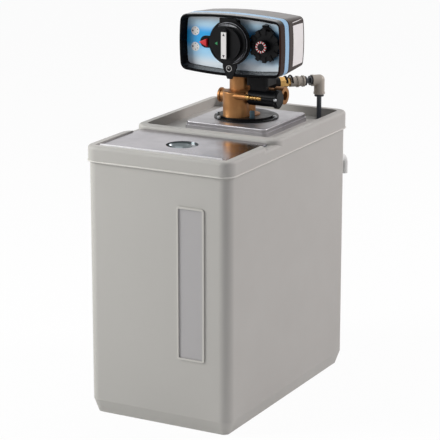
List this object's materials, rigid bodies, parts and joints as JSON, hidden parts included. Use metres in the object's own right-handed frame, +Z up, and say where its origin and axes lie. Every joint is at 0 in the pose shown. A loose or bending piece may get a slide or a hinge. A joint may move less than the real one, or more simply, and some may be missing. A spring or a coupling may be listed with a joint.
{
  "type": "cabinet water softener",
  "caption": "Free-standing cabinet water softener: salt tub with a lift-off lid, a resin tank inside, and a bronze valve with a clockwork timer head on top.",
  "frame": {"origin": "middle of the cabinet's footprint, on the floor", "axes": "+X right seen from the front, +Y to the back, +Z up"},
  "size_m": [0.2554, 0.4662, 0.604],
  "materials": {
    "cabinet_plastic": "fine-grained light grey moulding",
    "silver_plastic": "polished silver-grey",
    "white_plastic": "plain moulded white",
    "float_plastic": "plain moulded",
    "tank_plastic": "wound and lacquered",
    "valve_bronze": "cast and turned bronze",
    "brass": "turned",
    "black_plastic": "satin moulding",
    "seal_rubber": "smooth",
    "fitting_acetal": "satin acetal",
    "collet_plastic": "satin",
    "tube_plastic": "smooth extruded",
    "panel_film": "printed film",
    "trim_blue": "satin pale blue",
    "cover_brown": "fine-grained dark moulding",
    "dial_white": "satin",
    "button_red": "glossy",
    "zinc_steel": "zinc plated sheet"
  },
  "bodies": {
    "cabinet": {"air_check": "white_plastic", "bottom_strainer": "white_plastic", "brine_fitting": "brass", "brine_tube": "tube_plastic", "brine_well": "white_plastic", "cabinet_body": "cabinet_plastic", "chassis_plate": "zinc_steel", "dial_bracket": "black_plastic", "drive_motor": "zinc_steel", "end_plug": "white_plastic", "face_panel": "panel_film", "injector_body": "black_plastic", "injector_cap": "black_plastic", "injector_nozzle": "brass", "line_connector": "fitting_acetal", "line_elbow": "fitting_acetal", "link_tube": "tube_plastic", "neck_ring": "black_plastic", "nozzle_sleeve": "black_plastic", "overflow_elbow": "white_plastic", "overflow_nut": "white_plastic", "pickup_pipe": "white_plastic", "rear_cover": "cover_brown", "resin_tank": "tank_plastic", "riser_tube": "white_plastic", "salt_grid": "white_plastic", "seal_rings": "seal_rubber", "seal_spacers": "white_plastic", "timer_housing": "black_plastic", "top_cover": "cabinet_plastic", "top_strainer": "white_plastic", "trim_band": "trim_blue", "valve_body": "valve_bronze", "valve_plate": "silver_plastic"},
    "salt_lid": {"salt_lid": "silver_plastic"},
    "safety_float": {"safety_float": "float_plastic"},
    "piston": {"piston": "brass"},
    "brine_stem": {"brine_stem": "brass"},
    "connector_collet": {"connector_collet": "collet_plastic"},
    "elbow_collet_in": {"elbow_collet_in": "collet_plastic"},
    "elbow_collet_out": {"elbow_collet_out": "collet_plastic"},
    "hour_dial": {"hour_dial": "dial_white"},
    "motor_pinion": {"motor_pinion": "brass"},
    "regen_knob": {"regen_knob": "black_plastic", "program_cam": "fitting_acetal"},
    "red_button": {"red_button": "button_red"},
    "day_wheel": {"day_wheel": "black_plastic"},
    "day_tab_1": {"day_tab_1": "black_plastic"},
    "day_tab_2": {"day_tab_2": "black_plastic"},
    "day_tab_3": {"day_tab_3": "black_plastic"},
    "day_tab_4": {"day_tab_4": "black_plastic"},
    "day_tab_5": {"day_tab_5": "black_plastic"},
    "day_tab_6": {"day_tab_6": "black_plastic"},
    "day_tab_7": {"day_tab_7": "black_plastic"},
    "day_tab_8": {"day_tab_8": "black_plastic"},
    "day_tab_9": {"day_tab_9": "black_plastic"},
    "day_tab_10": {"day_tab_10": "black_plastic"},
    "day_tab_11": {"day_tab_11": "black_plastic"},
    "day_tab_12": {"day_tab_12": "black_plastic"}
  },
  "joints": [
    {"name": "lid_lift", "type": "slide", "parent": "cabinet", "child": "salt_lid", "axis": [0, 0, 1], "range_m": [0, 0.12]},
    {"name": "float_rise", "type": "slide", "parent": "cabinet", "child": "safety_float", "axis": [0, 0, 1], "range_m": [0, 0.06]},
    {"name": "piston_stroke", "type": "slide", "parent": "cabinet", "child": "piston", "axis": [0, 0, 1], "range_m": [0, 0.024]},
    {"name": "stem_press", "type": "slide", "parent": "cabinet", "child": "brine_stem", "axis": [0, 0, -1], "range_m": [0, 0.004], "stiffness_N_per_m": 800},
    {"name": "connector_collet_press", "type": "slide", "parent": "cabinet", "child": "connector_collet", "axis": [-0.6428, -0.766, 0], "range_m": [0, 0.0015]},
    {"name": "elbow_collet_in_press", "type": "slide", "parent": "cabinet", "child": "elbow_collet_in", "axis": [0.6428, 0.766, 0], "range_m": [0, 0.0015]},
    {"name": "elbow_collet_out_press", "type": "slide", "parent": "cabinet", "child": "elbow_collet_out", "axis": [0, 0, 1], "range_m": [0, 0.0015]},
    {"name": "dial_turn", "type": "hinge", "parent": "cabinet", "child": "hour_dial", "pos_m": [0, 0.05, 0.56], "axis": [0, 1, 0], "continuous": true},
    {"name": "pinion_turn", "type": "hinge", "parent": "cabinet", "child": "motor_pinion", "pos_m": [0.03383, 0.05, 0.57231], "axis": [0, 1, 0], "continuous": true},
    {"name": "knob_turn", "type": "hinge", "parent": "cabinet", "child": "regen_knob", "pos_m": [0, 0.05, 0.56], "axis": [0, 1, 0], "continuous": true},
    {"name": "button_press", "type": "slide", "parent": "cabinet", "child": "red_button", "axis": [0, 1, 0], "range_m": [0, 0.003], "stiffness_N_per_m": 400},
    {"name": "wheel_turn", "type": "hinge", "parent": "cabinet", "child": "day_wheel", "pos_m": [0.0575, 0.05, 0.5585], "axis": [0, 1, 0], "continuous": true},
    {"name": "tab_1_slide", "type": "slide", "parent": "day_wheel", "child": "day_tab_1", "axis": [0, 0, 1], "range_m": [0, 0.002]},
    {"name": "tab_2_slide", "type": "slide", "parent": "day_wheel", "child": "day_tab_2", "axis": [0.5, 0, 0.866], "range_m": [0, 0.002]},
    {"name": "tab_3_slide", "type": "slide", "parent": "day_wheel", "child": "day_tab_3", "axis": [0.866, 0, 0.5], "range_m": [0, 0.002]},
    {"name": "tab_4_slide", "type": "slide", "parent": "day_wheel", "child": "day_tab_4", "axis": [1, 0, 0], "range_m": [0, 0.002]},
    {"name": "tab_5_slide", "type": "slide", "parent": "day_wheel", "child": "day_tab_5", "axis": [0.866, 0, -0.5], "range_m": [0, 0.002]},
    {"name": "tab_6_slide", "type": "slide", "parent": "day_wheel", "child": "day_tab_6", "axis": [0.5, 0, -0.866], "range_m": [0, 0.002]},
    {"name": "tab_7_slide", "type": "slide", "parent": "day_wheel", "child": "day_tab_7", "axis": [0, 0, -1], "range_m": [0, 0.002]},
    {"name": "tab_8_slide", "type": "slide", "parent": "day_wheel", "child": "day_tab_8", "axis": [-0.5, 0, -0.866], "range_m": [0, 0.002]},
    {"name": "tab_9_slide", "type": "slide", "parent": "day_wheel", "child": "day_tab_9", "axis": [-0.866, 0, -0.5], "range_m": [0, 0.002]},
    {"name": "tab_10_slide", "type": "slide", "parent": "day_wheel", "child": "day_tab_10", "axis": [-1, 0, 0], "range_m": [0, 0.002]},
    {"name": "tab_11_slide", "type": "slide", "parent": "day_wheel", "child": "day_tab_11", "axis": [-0.866, 0, 0.5], "range_m": [0, 0.002]},
    {"name": "tab_12_slide", "type": "slide", "parent": "day_wheel", "child": "day_tab_12", "axis": [-0.5, 0, 0.866], "range_m": [0, 0.002]}
  ],
  "couplings": [
    {"joint": "pinion_turn", "follows": "dial_turn", "ratio": -3}
  ]
}
